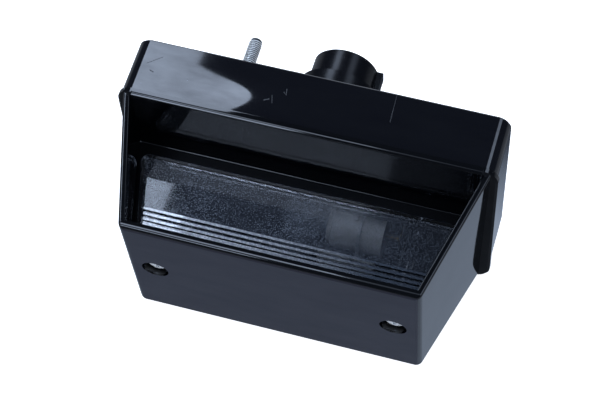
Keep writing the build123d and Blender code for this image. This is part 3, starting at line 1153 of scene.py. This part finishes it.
@dataclass(frozen=True)
class Softbox:
    """A soft light: its place and aim in metres, its width and height, and its power in watts."""

    name: str
    spot: Point
    wide: float
    high: float
    power: float
    aim: Point | None = None
    daylight: str = "d3e4ff"

    def hang(self) -> None:
        """Hangs the light, facing its aim or, without one, straight down with its height along the depth."""
        data = bpy.data.lights.new(self.name, "AREA")
        data.shape = "RECTANGLE"
        data.size, data.size_y, data.energy = self.wide, self.high, self.power
        data.color = linear(self.daylight)[:3]
        lamp = bpy.data.objects.new(self.name, data)
        lamp.location = self.spot
        # a hair off plumb, so that the turn about the vertical is fixed
        aim = self.aim or (self.spot[0], self.spot[1] + 0.0001, 0.0)
        lamp.rotation_euler = (Vector(aim) - Vector(self.spot)).to_track_quat("-Z", "Y").to_euler()
        bpy.context.scene.collection.objects.link(lamp)


@dataclass
class Studio:
    """Pale floor, soft lights and the camera at the photo's viewing angle.

    The floor's size is in metres. Its height and the camera's lens, distance and aim are in millimetres, the camera's
    angles in degrees.
    The surround gets a new tone from each step on, as the direction rises from straight down (-1) to straight up.
    """

    floor_height: float = -36.7
    floor_size: float = 6.0
    lens: float = 113.93
    sensor: float = 36.0
    azimuth: float = 20.11
    elevation: float = 60.02
    roll: float = -4.46
    distance: float = 692.1
    aim_right: float = -9.43
    aim_up: float = -25.02
    low_surround: str = "9caabf"
    surround: list[tuple[float, float, str]] = field(default_factory=lambda: [
        (-0.872, -0.85, "464d59"), (-0.80, -0.70, "9ea6b3"), (-0.10, 0.05, "464d59")])
    lights: list[Softbox] = field(default_factory=lambda: [
        Softbox("softbox_back_left", (-0.392, 0.50, 0.70), 0.31, 0.90, 6.1),
        Softbox("softbox_back_right", (0.38, 0.43, 0.70), 0.31, 0.50, 1.4),
        Softbox("softbox_front_left", (-0.95, -1.4, 1.9), 1.3, 2.2, 8.0, (0.0, 0.0, 0.0)),
        Softbox("softbox_front", (-0.18, -0.42, 0.70), 0.20, 0.20, 0.75),
        Softbox("softbox_left", (-0.42, -0.02, 0.70), 0.20, 0.14, 1.2),
        Softbox("softbox_low_left", (-0.25, -0.80, 0.47), 0.16, 0.12, 0.5, (-0.03, -0.024, 0.036)),
        Softbox("softbox_right", (0.9, -0.45, 1.1), 1.0, 1.0, 7.0, (0.0, 0.0, 0.0)),
    ])

    def lay_floor(self) -> None:
        """Lays the floor as one flat sheet under the lamp, bright but not seen in reflections."""
        bpy.ops.mesh.primitive_plane_add(size=self.floor_size, location=(0, 0, self.floor_height * MM))
        floor = bpy.context.object
        floor.name = floor.data.name = "pale_floor"
        floor.data.materials.append(PALE_PAPER.make())
        floor.visible_glossy = False

    def set_surround(self) -> None:
        """Sets the dim surround, whose tone changes with the height of the direction."""
        world = bpy.data.worlds.new("studio")
        world.use_nodes = True
        tree = world.node_tree
        tree.nodes.clear()
        around = add_node(tree, "ShaderNodeTexCoord", {}, {})
        rise = add_node(tree, "ShaderNodeSeparateXYZ", {}, {"Vector": around.outputs["Generated"]}).outputs["Z"]
        shade = linear(self.low_surround)
        for start, end, tone in self.surround:
            shade = blend(tree, span(tree, rise, start, end), shade, linear(tone))
        sky = add_node(tree, "ShaderNodeBackground", {}, {"Color": shade, "Strength": 1.0})
        add_node(tree, "ShaderNodeOutputWorld", {}, {"Surface": sky.outputs["Background"]})
        bpy.context.scene.world = world

    def set_camera(self) -> None:
        """Puts the camera where the photo was taken from."""
        az, el, roll = (math.radians(angle) for angle in (self.azimuth, self.elevation, self.roll))
        back = Vector((math.sin(az) * math.cos(el), -math.cos(az) * math.cos(el), math.sin(el)))
        level = Vector((math.cos(az), math.sin(az), 0))
        rise = back.cross(level)
        right = math.cos(roll) * level + math.sin(roll) * rise
        up = -math.sin(roll) * level + math.cos(roll) * rise
        data = bpy.data.cameras.new("photo_view")
        data.lens, data.sensor_width, data.sensor_fit = self.lens, self.sensor, "HORIZONTAL"
        data.dof.use_dof = False
        data.clip_start, data.clip_end = 0.01, 20.0
        camera = bpy.data.objects.new("photo_view", data)
        spot = (right * self.aim_right + up * self.aim_up + back * self.distance) * MM
        turn = Matrix((right, up, back)).transposed().to_4x4()
        camera.matrix_world = Matrix.Translation(spot) @ turn
        bpy.context.scene.collection.objects.link(camera)
        bpy.context.scene.camera = camera

    def make(self) -> None:
        """Sets the whole studio up."""
        self.lay_floor()
        for light in self.lights:
            light.hang()
        self.set_surround()
        self.set_camera()
        bpy.context.scene.view_settings.view_transform = "Standard"


def dress_inner_nodes() -> None:
    """Puts finishes on the CAD nodes that show as they are."""
    finishes = {BLACK_RUBBER: ("gasket",), STAMPED_BRASS: ("live_terminal", "earth_terminal", "centre_contact"),
                BRACKET_STEEL: ("holder_bracket",), BRIGHT_ZINC: ("bracket_screw_lower", "bracket_screw_upper"),
                NICKEL: ("bulb_shell",), BROWN_PHENOLIC: ("shell_insulator",)}
    for finish, nodes in finishes.items():
        material = finish.make()
        for piece in (frame["nodes"][node] for node in nodes):
            piece.data.materials.clear()
            piece.data.materials.append(material)
            report(piece)


def main() -> None:
    """Builds the lamp's pieces in order, then the studio."""
    logging.basicConfig(level=logging.INFO, format="%(message)s")
    BaseBox("base_housing", "base_box", "base_black", GLOSS_ABS).make()
    HoodShell("hood", "hood_moulding", "hood_black", HOOD_ABS).make()
    SoftenedNode("socket_body", "plug_socket", "socket_black", SOCKET_ABS).make()
    LensTray("lens", "lens_tray", "lens_clear", POLISHED_ACRYLIC).make()
    for side in ("left", "right"):
        PanScrew(f"hood_screw_{side}", f"pan_screw_{side}", "screw_zinc", BRIGHT_ZINC).make()
    ThreadedStud().make()
    BayonetBulb().make()
    dress_inner_nodes()
    Studio().make()


if __name__ == "__main__":
    main()
